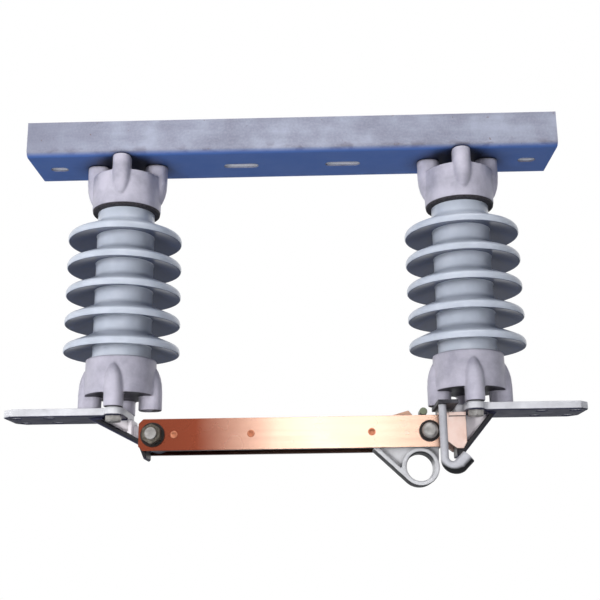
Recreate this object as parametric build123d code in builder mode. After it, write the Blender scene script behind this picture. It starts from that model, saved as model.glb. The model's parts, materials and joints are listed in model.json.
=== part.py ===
"""Hook-operated outdoor disconnect switch, hung under its steel base channel.

Millimetres, +Z up. X runs along the channel from the hinge (-X) to the jaw (+X).
The channel hangs by the edges of its two flanges. The origin is the middle of the
front flange's edge, so every piece of the switch lies at Z = 0 or below.
"""
import os
from math import atan2, cos, radians, sin, tan

from build123d import *

os.makedirs("parts", exist_ok=True)

# Base channel: bent steel, web down and flanges up
post_spacing = 476.0
channel_overhang = 134.5
channel_width = 101.6
channel_depth = 50.8
channel_wall = 6.4
channel_bend_radius = 9.0
mount_slot_width = 14.3
long_slot_length = 50.0
long_slot_spacing = 147.0
short_slot_length = 25.0
end_slot_inset = 34.5

# Insulator posts: porcelain cemented into two cast caps
post_height = 355.6
core_radius = 40.0
tenon_radius = 39.5
tenon_end_gap = 2.0
shed_radius = 79.4
shed_count = 5
shed_height = 28.0
rim_thickness = 12.0
shed_hollow = 4.0
upper_neck = 19.8
lower_neck = 7.8

# Caps: a cup with four bolting lobes on its closed end
cap_height = 70.0
cup_radius = 48.2
cup_wall = 4.2
cup_floor = 8.0
cup_edge_round = 1.6
lobe_free_height = 20.0
lobe_reach = 57.5
lobe_width = 25.0
lobe_count = 4
rib_straight_height = 38.0
rib_top_height = 60.0
bolt_circle_radius = 38.1
cement_recess = 4.0

# Bolts
cap_bolt_radius = 6.3
cap_bolt_head_flats = 19.0
cap_bolt_head_height = 8.0
cap_bolt_grip = 16.0
tapped_hole_spare = 2.0
bolt_clearance = 0.4
thread_clearance = 0.05

# Terminal pads and brackets
pad_overhang = 150.0
pad_width = 76.2
plate_thickness = 11.0
pad_corner = 12.0
pad_hole_radius = 7.15
pad_hole_spacing = 44.45
pad_hole_inset = 15.9
ear_width = 24.0
ear_reach = 52.0
plate_inner_gap = 13.0
rib_thickness = 12.0
gusset_flange_width = 39.0
gusset_flange_thickness = 7.0
merge = 2.0

# Hinge bracket, from the hinge pivot
gusset_tip_outset = 38.6
gusset_low_outset = 21.5
gusset_low_drop = 10.5
hinge_boss_radius = 19.0
hinge_rib_outset = 32.9
hinge_rib_thickness = 6.0
hinge_rib_top_gap = 2.0
stop_gap = 5.2
stop_lug_point = 3.0

# Blade: two copper bars on one hinge bolt
pivot_inset = 51.5
pivot_drop = 36.1
jaw_bolt_inset = 60.2
bar_height = 42.0
bar_thickness = 6.35
bar_outer_width = 64.0
bar_hinge_overhang = 19.0
bar_jaw_overhang = 20.5
bar_corner = 6.0
side_clearance = 0.3
pivot_bolt_radius = 7.9
pivot_clearance = 0.05
hinge_washer_radius = 16.0
washer_thickness = 3.0
hinge_nut_flats = 23.8
hinge_nut_height = 12.0
hinge_bolt_head_height = 10.0
hinge_bolt_end = 4.0
spacer_radius = 5.0
stop_pin_distance = 28.0
middle_spacer_distance = 129.7
jaw_spacer_inset = 75.9

# Jaw-end bolt with the latch lever and its pull ring, from the bolt
jaw_bolt_radius = 6.3
jaw_washer_radius = 14.0
jaw_head_radius = 10.5
jaw_head_height = 8.0
jaw_head_round = 5.0
sleeve_wall = 2.0
lever_hub_radius = 15.0
lever_hub_width = 24.0
lever_web = 12.0
lever_rim_width = 34.0
lever_rim = 6.5
ring_inset = 12.0
ring_drop = 45.0
ring_hole_radius = 18.5
ring_edge_round = 2.4
tail_reach = 74.0
tail_top_reach = 62.0
crest_low_reach = 60.0
crest_reach = 24.6
crest_end_reach = 17.7
crest_rise = 10.2
nose_inset = 5.0
nose_rise = 7.7
nose_radius = 5.3
nose_neck = 7.0

# Jaw: block and two contact plates, and the load-break hook in front
jaw_tip_outset = 31.0
jaw_low_inset = 17.0
jaw_low_drop = 11.0
jaw_block_inset = 24.0
contact_inset = 11.0
contact_width = 37.0
contact_drop = 1.7
contact_thickness = 5.8
contact_lead_run = 23.4
contact_lead_rise = 18.4
contact_back_run = 4.9
contact_back_rise = 8.5
contact_foot_height = 5.4
contact_foot_width = 22.5
contact_foot_step = 3.0
hook_inset = 45.0
hook_side = 54.0
hook_stem_radius = 5.2
hook_bend_radius = 12.0
hook_bend_drop = 16.7
hook_tip_radius = 9.3
hook_tip_length = 14.5
hook_tip_angle = 45.0
hook_sections = 7
strap_thickness = 5.0
strap_width = 26.0
strap_margin = 10.0
strap_rear_reach = 15.0

# Places that follow from the sizes above
post_x = post_spacing / 2
channel_length = post_spacing + 2 * channel_overhang
centre_y = channel_width / 2 - channel_wall / 2
centre_plane = Plane.XZ.offset(-centre_y)
web_z = -channel_depth
seat_z = web_z - post_height
plate_bottom = seat_z - plate_thickness
pad_reach = post_x + pad_overhang
pivot_x = -post_x + pivot_inset
pivot_z = seat_z - pivot_drop
jaw_bolt_x = post_x - jaw_bolt_inset
bar_top = pivot_z + bar_height / 2
bar_bottom = pivot_z - bar_height / 2
bar_inner = bar_outer_width / 2 - bar_thickness
bar_outer = bar_outer_width / 2
boss_half = bar_inner - side_clearance


def write(piece, name):
    """Label one finished piece and write it as its own STEP file."""
    piece.label = name
    export_step(piece, f"parts/{name}.step")


def at(x, z, turned=False):
    """Place on the switch's centre plane, upside down if turned."""
    return Location((x, centre_y, z), (180, 0, 0) if turned else (0, 0, 0))


def disc(radius, x, near, start, thickness, hole=0.0, flats=False):
    """Washer, nut or head on one side of the centre plane, start measured from that plane."""
    with BuildPart() as made:
        with BuildSketch(Plane.XZ.offset(-(centre_y + near * start))):
            with Locations((x, pivot_z)):
                if flats:
                    RegularPolygon(radius, 6, major_radius=False)
                else:
                    Circle(radius)
                if hole:
                    Circle(hole, mode=Mode.SUBTRACT)
        extrude(amount=-near * thickness)
    return made.part


# Base channel
with BuildPart() as base_channel:
    with BuildSketch(Plane.YZ.offset(-channel_length / 2)):
        with Locations((centre_y, -channel_depth / 2)):
            Rectangle(channel_width, channel_depth)
        with Locations((centre_y, -channel_depth / 2 + channel_wall / 2)):
            Rectangle(
                channel_width - 2 * channel_wall,
                channel_depth - channel_wall,
                mode=Mode.SUBTRACT,
            )
    extrude(amount=channel_length)
    outer_bends = base_channel.edges().filter_by(Axis.X).group_by(Axis.Z)[0]
    fillet(outer_bends, channel_bend_radius)
    with BuildSketch(Plane.XY.offset(web_z)):
        with Locations((0, centre_y)):
            with GridLocations(long_slot_spacing, 0, 2, 1):
                SlotOverall(long_slot_length, mount_slot_width)
            with GridLocations(channel_length - 2 * end_slot_inset, 0, 2, 1):
                SlotOverall(short_slot_length, mount_slot_width)
            with GridLocations(post_spacing, 0, 2, 1):
                with GridLocations(2 * bolt_circle_radius, 0, 2, 1):
                    Circle(cap_bolt_radius + bolt_clearance)
    extrude(amount=channel_wall, mode=Mode.SUBTRACT)
write(base_channel.part, "base_channel")


def make_cap():
    """Cast cap standing on its lobes, mouth up, its bolting face at Z = 0."""
    lobe_centre = lobe_reach - lobe_width / 2
    with BuildPart() as cap:
        with BuildSketch():
            with PolarLocations((bolt_circle_radius + lobe_centre) / 2, lobe_count):
                SlotCenterToCenter(lobe_centre - bolt_circle_radius, lobe_width)
        extrude(amount=rib_top_height)
        with BuildSketch(Plane.XZ):
            with BuildLine():
                Polyline(
                    (0, rib_top_height),
                    (0, 0),
                    (lobe_reach, 0),
                    (lobe_reach, rib_straight_height),
                )
                Line((0, rib_top_height), (cup_radius, rib_top_height))
                TangentArc(
                    (lobe_reach, rib_straight_height),
                    (cup_radius, rib_top_height),
                    tangent=(0, 1),
                )
            make_face()
        revolve(axis=Axis.Z, mode=Mode.INTERSECT)
        with BuildSketch(Plane.XY.offset(lobe_free_height)):
            Circle(cup_radius)
        extrude(amount=cap_height - lobe_free_height)
        fillet(cap.edges().group_by(Axis.Z)[-1], cup_edge_round)
        with BuildSketch(Plane.XY.offset(lobe_free_height + cup_floor)):
            Circle(cup_radius - cup_wall)
        extrude(amount=cap_height - lobe_free_height - cup_floor, mode=Mode.SUBTRACT)
        with BuildSketch():
            with PolarLocations(bolt_circle_radius, lobe_count):
                Circle(cap_bolt_radius + thread_clearance)
        extrude(amount=cap_bolt_grip + tapped_hole_spare, mode=Mode.SUBTRACT)
    return cap.part


def make_cement():
    """Ring of cement between the porcelain and the cup, up to just inside the mouth."""
    bottom = lobe_free_height + cup_floor + tenon_end_gap
    with BuildPart() as cement:
        with BuildSketch(Plane.XY.offset(bottom)):
            Circle(cup_radius - cup_wall)
            Circle(tenon_radius, mode=Mode.SUBTRACT)
        extrude(amount=cap_height - cement_recess - bottom)
    return cement.part


def make_porcelain():
    """Porcelain post with its sheds sloping down, built about Z at the row's heights."""
    tenon_depth = lobe_free_height + cup_floor + tenon_end_gap
    top = web_z - tenon_depth
    bottom = seat_z + tenon_depth
    glazed_length = post_height - 2 * cap_height - upper_neck - lower_neck
    shed_pitch = (glazed_length - shed_height) / (shed_count - 1)
    first_rim = web_z - cap_height - upper_neck - shed_height
    with BuildPart() as post:
        with BuildSketch(Plane.XZ):
            with BuildLine():
                Polyline((0, bottom), (0, top), (tenon_radius, top), (tenon_radius, bottom), (0, bottom))
            make_face()
        revolve(axis=Axis.Z)
        for shed in range(shed_count):
            rim_z = first_rim - shed * shed_pitch
            with BuildSketch(Plane.XZ):
                with BuildLine():
                    rim_top = (shed_radius - rim_thickness / 2, rim_z + rim_thickness)
                    rim_low = (shed_radius - rim_thickness / 2, rim_z)
                    root_top = (core_radius, rim_z + shed_height)
                    root_low = (core_radius, rim_z + shed_hollow)
                    Line((0, root_top[1]), root_top)
                    Line(root_top, rim_top)
                    ThreePointArc(rim_top, (shed_radius, rim_z + rim_thickness / 2), rim_low)
                    Line(rim_low, root_low)
                    Line(root_low, (0, root_low[1]))
                    Line((0, root_low[1]), (0, root_top[1]))
                make_face()
            revolve(axis=Axis.Z)
    return post.part


def make_hex_bolt(shank_radius, shank_length, head_flats, head_height):
    """Hex bolt standing on Z, shank up from Z = 0 and head below."""
    with BuildPart() as bolt:
        with BuildSketch():
            Circle(shank_radius)
        extrude(amount=shank_length)
        with BuildSketch(Plane.XY.offset(-head_height)):
            RegularPolygon(head_flats / 2, 6, major_radius=False)
        extrude(amount=head_height)
    return bolt.part


cap = make_cap()
cement = make_cement()
porcelain = make_porcelain()
for side, x in (("hinge", -post_x), ("jaw", post_x)):
    write(cap.moved(at(x, web_z, turned=True)), f"{side}_upper_cap")
    write(cap.moved(at(x, seat_z)), f"{side}_lower_cap")
    write(cement.moved(at(x, web_z, turned=True)), f"{side}_upper_cement")
    write(cement.moved(at(x, seat_z)), f"{side}_lower_cement")
    write(porcelain.moved(at(x, 0)), f"{side}_insulator")

# Bolts of the upper caps: heads inside the channel, one on each side of the post
upper_bolt = make_hex_bolt(
    cap_bolt_radius, channel_wall + cap_bolt_grip, cap_bolt_head_flats, cap_bolt_head_height
)
for side, x in (("hinge", -post_x), ("jaw", post_x)):
    with BuildPart() as bolts:
        for step in (-bolt_circle_radius, bolt_circle_radius):
            add(upper_bolt.moved(at(x + step, web_z + channel_wall, turned=True)))
    write(bolts.part, f"{side}_upper_bolts")

# Bolts of the lower caps: heads under the bracket's ears, front and back
lower_bolt = make_hex_bolt(
    cap_bolt_radius, plate_thickness + cap_bolt_grip, cap_bolt_head_flats, cap_bolt_head_height
)
for side, x in (("hinge", -post_x), ("jaw", post_x)):
    with BuildPart() as bolts:
        for step in (-bolt_circle_radius, bolt_circle_radius):
            add(lower_bolt.moved(Location((x, centre_y + step, plate_bottom))))
    write(bolts.part, f"{side}_lower_bolts")


def terminal_plate(side):
    """Flat top of a bracket: terminal pad at the outer end, ears under the cap's lobes."""
    inner_x = side * (post_x - plate_inner_gap)
    outer_x = side * pad_reach
    pad_middle = side * (pad_reach - pad_hole_inset - pad_hole_spacing / 2)
    with BuildPart() as plate:
        with BuildSketch(Plane.XY.offset(plate_bottom)) as outline:
            with Locations(((inner_x + outer_x) / 2, centre_y)):
                Rectangle(abs(outer_x - inner_x), pad_width)
            outer_corners = outline.vertices().group_by(Axis.X)[0 if side < 0 else -1]
            chamfer(outer_corners, pad_corner)
            with Locations((side * post_x, centre_y)):
                SlotOverall(2 * ear_reach, ear_width, rotation=90)
            with Locations((pad_middle, centre_y)):
                with GridLocations(pad_hole_spacing, pad_hole_spacing, 2, 2):
                    Circle(pad_hole_radius, mode=Mode.SUBTRACT)
            with Locations((side * post_x, centre_y)):
                with GridLocations(0, 2 * bolt_circle_radius, 1, 2):
                    Circle(cap_bolt_radius + bolt_clearance, mode=Mode.SUBTRACT)
        extrude(amount=plate_thickness)
    return plate.part


# Hinge bracket: plate, gusset with a bottom flange, stop lug and the boss between the bars
tip_x = -post_x - gusset_tip_outset
low_x = pivot_x - gusset_low_outset
low_z = pivot_z - gusset_low_drop
slant = atan2(plate_bottom - low_z, low_x - tip_x)
flange_rise = gusset_flange_thickness / cos(slant)
flange_run = gusset_flange_thickness / sin(slant)
plate_end = -post_x + plate_inner_gap
lug_face = pivot_x - spacer_radius - stop_gap
lug_z = pivot_z - stop_pin_distance
rib_x = pivot_x - hinge_rib_outset
rib_top = plate_bottom - hinge_rib_top_gap
rib_foot = low_z + (low_x - rib_x) * tan(slant) + flange_rise / 2
with BuildPart() as hinge_bracket:
    add(terminal_plate(-1))
    with BuildSketch(centre_plane):
        with BuildLine():
            Polyline(
                (tip_x + flange_run / 2, plate_bottom + merge),
                (tip_x + flange_run / 2, plate_bottom),
                (low_x, low_z + flange_rise / 2),
                (pivot_x, pivot_z - hinge_boss_radius / 2),
                (pivot_x, pivot_z),
                (plate_end - merge, plate_bottom),
                (plate_end - merge, plate_bottom + merge),
                (tip_x + flange_run / 2, plate_bottom + merge),
            )
        make_face()
    extrude(amount=rib_thickness / 2, both=True)
    with BuildSketch(centre_plane):
        with BuildLine():
            Polyline(
                (tip_x, plate_bottom + merge),
                (tip_x, plate_bottom),
                (low_x, low_z),
                (lug_face - stop_lug_point, lug_z - stop_lug_point),
                (lug_face, lug_z),
                (lug_face, low_z + flange_rise),
                (low_x, low_z + flange_rise),
                (tip_x + flange_run, plate_bottom),
                (tip_x + flange_run, plate_bottom + merge),
                (tip_x, plate_bottom + merge),
            )
        make_face()
        with Locations((rib_x, (rib_top + rib_foot) / 2)):
            Rectangle(hinge_rib_thickness, rib_top - rib_foot)
    extrude(amount=gusset_flange_width / 2, both=True)
    with BuildSketch(centre_plane):
        with Locations((pivot_x, pivot_z)):
            Circle(hinge_boss_radius)
    extrude(amount=boss_half, both=True)
    with BuildSketch(centre_plane):
        with Locations((pivot_x, pivot_z)):
            Circle(pivot_bolt_radius + pivot_clearance)
    extrude(amount=bar_inner, both=True, mode=Mode.SUBTRACT)
write(hinge_bracket.part, "hinge_bracket")

# Jaw bracket: plate, gusset and the block that carries the two contacts
tip_x = post_x + jaw_tip_outset
low_x = post_x - jaw_low_inset
low_z = bar_bottom - jaw_low_drop
slant = atan2(plate_bottom - low_z, tip_x - low_x)
flange_rise = gusset_flange_thickness / cos(slant)
flange_run = gusset_flange_thickness / sin(slant)
block_left = post_x - jaw_block_inset
contact_right = post_x - contact_inset
contact_left = contact_right - contact_width
block_foot = low_z + flange_rise + (contact_right - low_x) * tan(slant)
with BuildPart() as jaw_bracket:
    add(terminal_plate(1))
    with BuildSketch(centre_plane):
        with BuildLine():
            Polyline(
                (tip_x - flange_run / 2, plate_bottom + merge),
                (tip_x - flange_run / 2, plate_bottom),
                (low_x, low_z + flange_rise / 2),
                (block_left + merge, low_z + flange_rise),
                (block_left + merge, plate_bottom + merge),
                (tip_x - flange_run / 2, plate_bottom + merge),
            )
        make_face()
    extrude(amount=rib_thickness / 2, both=True)
    with BuildSketch(centre_plane):
        with BuildLine():
            Polyline(
                (tip_x, plate_bottom + merge),
                (tip_x, plate_bottom),
                (low_x, low_z),
                (block_left, low_z),
                (block_left, seat_z),
                (contact_right, seat_z),
                (contact_right, block_foot),
                (tip_x - flange_run, plate_bottom),
                (tip_x - flange_run, plate_bottom + merge),
                (tip_x, plate_bottom + merge),
            )
        make_face()
    extrude(amount=gusset_flange_width / 2, both=True)
write(jaw_bracket.part, "jaw_bracket")

# Jaw contacts: copper plates on both sides of the block, reaching between the bars
contact_bottom = bar_bottom - contact_drop
contact_start = gusset_flange_width / 2
for name, near in (("front", -1), ("rear", 1)):
    with BuildPart() as contact:
        with BuildSketch(Plane.XZ.offset(-(centre_y + near * contact_start))):
            with BuildLine():
                Polyline(
                    (contact_left, plate_bottom),
                    (contact_right, plate_bottom),
                    (contact_right, contact_bottom + contact_back_rise),
                    (contact_right - contact_back_run, contact_bottom),
                    (contact_left + contact_lead_run, contact_bottom),
                    (contact_left, contact_bottom + contact_lead_rise),
                    (contact_left, plate_bottom),
                )
            make_face()
        extrude(amount=-near * contact_thickness)
        with BuildSketch(Plane.XZ.offset(-(centre_y + near * contact_start))):
            foot_middle = (contact_right - contact_foot_width / 2, plate_bottom - contact_foot_height / 2)
            with Locations(foot_middle):
                Rectangle(contact_foot_width, contact_foot_height)
        extrude(amount=-near * (contact_thickness + contact_foot_step))
    write(contact.part, f"jaw_contact_{name}")

# Strap under the jaw post's inner lobe
strap_x = post_x - bolt_circle_radius
strap_front = -hook_side - strap_margin
with BuildPart() as hook_strap:
    with BuildSketch(Plane.XY.offset(seat_z - strap_thickness)):
        with Locations((strap_x, centre_y + (strap_front + strap_rear_reach) / 2)):
            Rectangle(strap_width, strap_rear_reach - strap_front)
        with Locations((strap_x, centre_y)):
            Circle(cap_bolt_radius + bolt_clearance, mode=Mode.SUBTRACT)
    extrude(amount=strap_thickness)
write(hook_strap.part, "hook_strap")

strap_bolt = make_hex_bolt(
    cap_bolt_radius, strap_thickness + cap_bolt_grip, cap_bolt_head_flats, cap_bolt_head_height
)
write(strap_bolt.moved(at(strap_x, seat_z - strap_thickness)), "hook_strap_bolt")

# Load-break hook: a stem in front of the blade that swells into an upturned end
hook_x = post_x - hook_inset
hook_y = centre_y - hook_side
bend_x = hook_x + hook_bend_radius
bend_z = bar_bottom - hook_bend_drop
tip_turn = 180 + 90 + hook_tip_angle
with BuildPart() as hook:
    with BuildSketch(Plane.XY.offset(bend_z)):
        with Locations((hook_x, hook_y)):
            Circle(hook_stem_radius)
    extrude(amount=seat_z - strap_thickness - bend_z)
    for section in range(hook_sections):
        share = section / (hook_sections - 1)
        turn = radians(180 + share * (tip_turn - 180))
        place = (bend_x + hook_bend_radius * cos(turn), hook_y, bend_z + hook_bend_radius * sin(turn))
        along = (-sin(turn), 0, cos(turn))
        swell = min(1.0, share * tip_turn / 270)
        with BuildSketch(Plane(origin=place, x_dir=(0, 1, 0), z_dir=along)):
            Circle(hook_stem_radius + swell * (hook_tip_radius - hook_stem_radius))
    loft()
    with BuildSketch(Plane(origin=place, x_dir=(0, 1, 0), z_dir=along)):
        Circle(hook_tip_radius)
    extrude(amount=hook_tip_length)
write(hook.part, "loadbreak_hook")

# Blade bars
bar_left = pivot_x - bar_hinge_overhang
bar_right = jaw_bolt_x + bar_jaw_overhang
for name, near in (("front", -1), ("rear", 1)):
    with BuildPart() as bar:
        with BuildSketch(Plane.XZ.offset(-(centre_y + near * bar_inner))) as outline:
            with Locations(((bar_left + bar_right) / 2, pivot_z)):
                Rectangle(bar_right - bar_left, bar_height)
            chamfer(outline.vertices(), bar_corner)
            with Locations((pivot_x, pivot_z)):
                Circle(pivot_bolt_radius + thread_clearance, mode=Mode.SUBTRACT)
            with Locations((jaw_bolt_x, pivot_z)):
                Circle(jaw_bolt_radius + pivot_clearance, mode=Mode.SUBTRACT)
        extrude(amount=-near * bar_thickness)
    write(bar.part, f"blade_{name}")

# Spacers between the bars, the first one is also the stop pin of the hinge
with BuildPart() as spacers:
    with BuildSketch(centre_plane):
        for x in (
            pivot_x + stop_pin_distance,
            pivot_x + middle_spacer_distance,
            jaw_bolt_x - jaw_spacer_inset,
        ):
            with Locations((x, pivot_z)):
                Circle(spacer_radius)
    extrude(amount=bar_inner, both=True)
write(spacers.part, "blade_spacers")

# Hinge bolt through both bars and the boss, with a washer on each side and a nut in front
nut_start = bar_outer + washer_thickness
front_reach = nut_start + hinge_nut_height + hinge_bolt_end
with BuildPart() as hinge_bolt:
    add(disc(pivot_bolt_radius, pivot_x, 1, 0, nut_start))
    add(disc(pivot_bolt_radius, pivot_x, -1, 0, front_reach))
    add(disc(hinge_nut_flats / 2, pivot_x, 1, nut_start, hinge_bolt_head_height, flats=True))
write(hinge_bolt.part, "hinge_bolt")

bolt_hole = pivot_bolt_radius + thread_clearance
with BuildPart() as hinge_washers:
    for near in (-1, 1):
        add(disc(hinge_washer_radius, pivot_x, near, bar_outer, washer_thickness, bolt_hole))
write(hinge_washers.part, "hinge_washers")
write(
    disc(hinge_nut_flats / 2, pivot_x, -1, nut_start, hinge_nut_height, bolt_hole, flats=True),
    "hinge_nut",
)

# Jaw-end bolt with a round head on each side: it carries the latch lever between the bars
with BuildPart() as jaw_bolt:
    for near in (-1, 1):
        add(disc(jaw_head_radius, jaw_bolt_x, near, nut_start, jaw_head_height))
        head_edges = jaw_bolt.edges().filter_by(GeomType.CIRCLE)
        fillet(head_edges.sort_by(Axis.Y)[0 if near < 0 else -1], jaw_head_round)
    with BuildSketch(centre_plane):
        with Locations((jaw_bolt_x, pivot_z)):
            Circle(jaw_bolt_radius)
    extrude(amount=nut_start, both=True)
write(jaw_bolt.part, "jaw_end_bolt")

bolt_hole = jaw_bolt_radius + thread_clearance
with BuildPart() as jaw_washers:
    for near in (-1, 1):
        add(disc(jaw_washer_radius, jaw_bolt_x, near, bar_outer, washer_thickness, bolt_hole))
write(jaw_washers.part, "jaw_end_washers")

# Sleeves that centre the latch lever between the bars
sleeve_start = lever_hub_width / 2 + side_clearance
sleeve_radius = jaw_bolt_radius + sleeve_wall
with BuildPart() as jaw_sleeves:
    for near in (-1, 1):
        add(disc(sleeve_radius, jaw_bolt_x, near, sleeve_start, bar_inner - sleeve_start, bolt_hole))
write(jaw_sleeves.part, "latch_sleeves")

# Latch lever: hub on the jaw-end bolt, pull ring on a rimmed web below, crest and nose above
ring_x = jaw_bolt_x - ring_inset
ring_z = pivot_z - ring_drop
ring_radius = ring_hole_radius + lever_rim
tail_x = jaw_bolt_x - tail_reach
tail_turn = atan2(ring_z - bar_bottom, ring_x - tail_x)
tail_span = ((ring_x - tail_x) ** 2 + (ring_z - bar_bottom) ** 2) ** 0.5
edge_turn = tail_turn - atan2(ring_radius, (tail_span**2 - ring_radius**2) ** 0.5)
touch = (ring_x + ring_radius * sin(edge_turn), ring_z - ring_radius * cos(edge_turn))
rim_step = (-lever_rim * sin(edge_turn), lever_rim * cos(edge_turn))
nose = (jaw_bolt_x - nose_inset, bar_top + nose_rise)
with BuildPart() as latch_lever:
    with BuildSketch(centre_plane):
        with Locations((ring_x, ring_z)):
            Circle(ring_radius)
        with BuildLine():
            Polyline(
                (jaw_bolt_x + lever_hub_radius, pivot_z),
                (ring_x + ring_radius, ring_z),
                (ring_x, ring_z),
                touch,
                (tail_x, bar_bottom),
                (jaw_bolt_x - tail_top_reach, pivot_z - merge),
                (jaw_bolt_x - crest_low_reach, bar_top),
                (jaw_bolt_x - crest_reach, bar_top + crest_rise),
                (jaw_bolt_x - crest_end_reach, bar_top + merge),
                (nose[0] - nose_neck / 2, bar_top - merge),
                (nose[0] - nose_neck / 2, nose[1]),
                (nose[0] + nose_neck / 2, nose[1]),
                (jaw_bolt_x, pivot_z + lever_hub_radius),
                (jaw_bolt_x + lever_hub_radius, pivot_z),
            )
        make_face()
    extrude(amount=lever_web / 2, both=True)
    with BuildSketch(centre_plane):
        with BuildLine():
            Polyline(
                touch,
                (tail_x, bar_bottom),
                (tail_x + rim_step[0], bar_bottom + rim_step[1]),
                (touch[0] + rim_step[0], touch[1] + rim_step[1]),
                touch,
            )
        make_face()
        with Locations((ring_x, ring_z)):
            Circle(ring_radius)
    extrude(amount=lever_rim_width / 2, both=True)
    with BuildSketch(centre_plane):
        with Locations((jaw_bolt_x, pivot_z)):
            Circle(lever_hub_radius)
        with Locations(nose):
            Circle(nose_radius)
    extrude(amount=lever_hub_width / 2, both=True)
    with BuildSketch(centre_plane):
        with Locations((ring_x, ring_z)):
            Circle(ring_hole_radius)
    extrude(amount=lever_rim_width, both=True, mode=Mode.SUBTRACT)
    ring_edges = latch_lever.edges().filter_by(GeomType.CIRCLE)
    ring_edges = ring_edges.filter_by(lambda e: abs(e.radius - ring_hole_radius) < merge / 2)
    fillet(ring_edges, ring_edge_round)
    with BuildSketch(centre_plane):
        with Locations((jaw_bolt_x, pivot_z)):
            Circle(jaw_bolt_radius + pivot_clearance)
    extrude(amount=lever_hub_width, both=True, mode=Mode.SUBTRACT)
write(latch_lever.part, "latch_lever")
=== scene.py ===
# %% [markdown]
# # A hook-operated disconnect switch
# The switch hangs under a galvanised channel. Two porcelain posts carry a copper blade,
# which a hook stick pulls down by its ring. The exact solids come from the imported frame.
# Here each surface gets its real finish, and the castings, porcelain and fasteners are
# modelled again with the soft edges that a mould, a kiln or a lathe leaves.

# %% Load the fixed frame
import json
from math import cos, pi, radians, sin

import bmesh
import bpy
from mathutils import Matrix, Vector

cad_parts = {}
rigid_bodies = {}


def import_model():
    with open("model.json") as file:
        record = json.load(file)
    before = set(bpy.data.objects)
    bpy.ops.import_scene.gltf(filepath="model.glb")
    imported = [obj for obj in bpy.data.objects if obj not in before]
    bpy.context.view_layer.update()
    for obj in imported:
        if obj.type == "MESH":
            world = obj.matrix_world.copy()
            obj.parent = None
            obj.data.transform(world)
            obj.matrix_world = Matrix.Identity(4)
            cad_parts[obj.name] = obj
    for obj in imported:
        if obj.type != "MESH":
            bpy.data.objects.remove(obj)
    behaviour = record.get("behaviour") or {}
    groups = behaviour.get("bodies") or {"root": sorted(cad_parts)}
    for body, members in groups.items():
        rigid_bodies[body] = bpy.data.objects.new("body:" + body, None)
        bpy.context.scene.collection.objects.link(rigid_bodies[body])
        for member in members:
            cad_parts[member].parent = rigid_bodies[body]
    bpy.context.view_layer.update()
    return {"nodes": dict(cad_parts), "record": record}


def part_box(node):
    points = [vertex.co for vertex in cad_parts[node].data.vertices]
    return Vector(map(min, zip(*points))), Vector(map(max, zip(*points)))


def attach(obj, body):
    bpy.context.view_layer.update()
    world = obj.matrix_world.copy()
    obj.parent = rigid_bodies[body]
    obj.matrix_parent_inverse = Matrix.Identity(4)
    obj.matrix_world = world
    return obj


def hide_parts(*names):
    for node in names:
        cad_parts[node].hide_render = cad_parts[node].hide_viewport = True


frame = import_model()

# %% [markdown]
# ## Sizes that the pieces share
# A learner could type these numbers into every piece. Reading them from the frame keeps
# each dressed piece exactly where the solid is, whatever the solid's size becomes.

# %% Places on the switch
mm = 0.001
channel_low, channel_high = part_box("base_channel")
centre_y = (channel_low.y + channel_high.y) / 2
hinge_post_x = sum(corner.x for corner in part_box("hinge_insulator")) / 2
jaw_post_x = sum(corner.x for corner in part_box("jaw_insulator")) / 2
web_z = channel_low.z
seat_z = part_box("hinge_lower_cap")[0].z
blade_low, blade_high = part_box("blade_front")
pivot = Vector([sum(c) / 2 for c in zip(*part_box("hinge_nut"))])
jaw_bolt = Vector([sum(c) / 2 for c in zip(*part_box("jaw_end_washers"))])
print("posts at x", round(hinge_post_x, 4), round(jaw_post_x, 4), "seat z", round(seat_z, 4))

# %% [markdown]
# ## The camera
# The photograph was taken from a little below the switch, looking up at it. A camera was
# fitted to the channel's corners and the rims of the sheds, and these are its values.
# The matrix is written from the three angles, so that nothing depends on a tracking target.

# %% Camera from the fit
pitch, yaw, roll = radians(14.89), radians(-1.25), radians(-0.72)
lens_at = Vector((0.0377, -1.2564, -0.6005))
sensor_mm, focal_mm = 36, 58.04
forward = Vector((sin(yaw) * cos(pitch), cos(yaw) * cos(pitch), sin(pitch)))
level_right = Vector((cos(yaw), -sin(yaw), 0))
level_up = level_right.cross(forward)
right = cos(roll) * level_right + sin(roll) * level_up
up = cos(roll) * level_up - sin(roll) * level_right
lens_data = bpy.data.cameras.new("view_from_below")
lens_data.sensor_width = sensor_mm
lens_data.lens = focal_mm
camera = bpy.data.objects.new("view_from_below", lens_data)
bpy.context.scene.collection.objects.link(camera)
place = Matrix((right, up, -forward)).transposed().to_4x4()
place.translation = lens_at
camera.matrix_world = place
bpy.context.scene.camera = camera
bpy.context.scene.view_settings.view_transform = "Standard"
print("camera at", tuple(round(v, 3) for v in camera.location))

# %% [markdown]
# ## Light and background
# Outdoors a switch like this is lit by the sky above and sees dark ground below. Here one
# lamp stands in front and far to the left, so that right flanks fall into shade. A weak one
# in front lifts the gussets, and another hangs above. A narrow softbox stands where the flat
# blade mirrors it to the camera, and gives the copper its pale stretch. One behind lights
# the back for views from there. The background is white for the camera and for what metal
# and glass show of it. All other rays meet a weak blue sky, so it adds hardly any light.

# %% Colours and nodes
def linear(hex_colour, alpha=1.0):
    """sRGB hex text to the linear colour that Blender mixes with."""
    made = []
    for place in (1, 3, 5):
        part = int(hex_colour[place:place + 2], 16) / 255
        made.append(part / 12.92 if part <= 0.04045 else ((part + 0.055) / 1.055) ** 2.4)
    return (*made, alpha)


def add_node(tree, kind, settings=None, values=None, links=None):
    """Add one node, set its properties and sockets, and link other sockets into it."""
    made = tree.nodes.new(kind)
    for name, value in (settings or {}).items():
        setattr(made, name, value)
    for name, value in (values or {}).items():
        made.inputs[name].default_value = value
    for name, source in (links or {}).items():
        tree.links.new(source, made.inputs[name])
    return made


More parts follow.
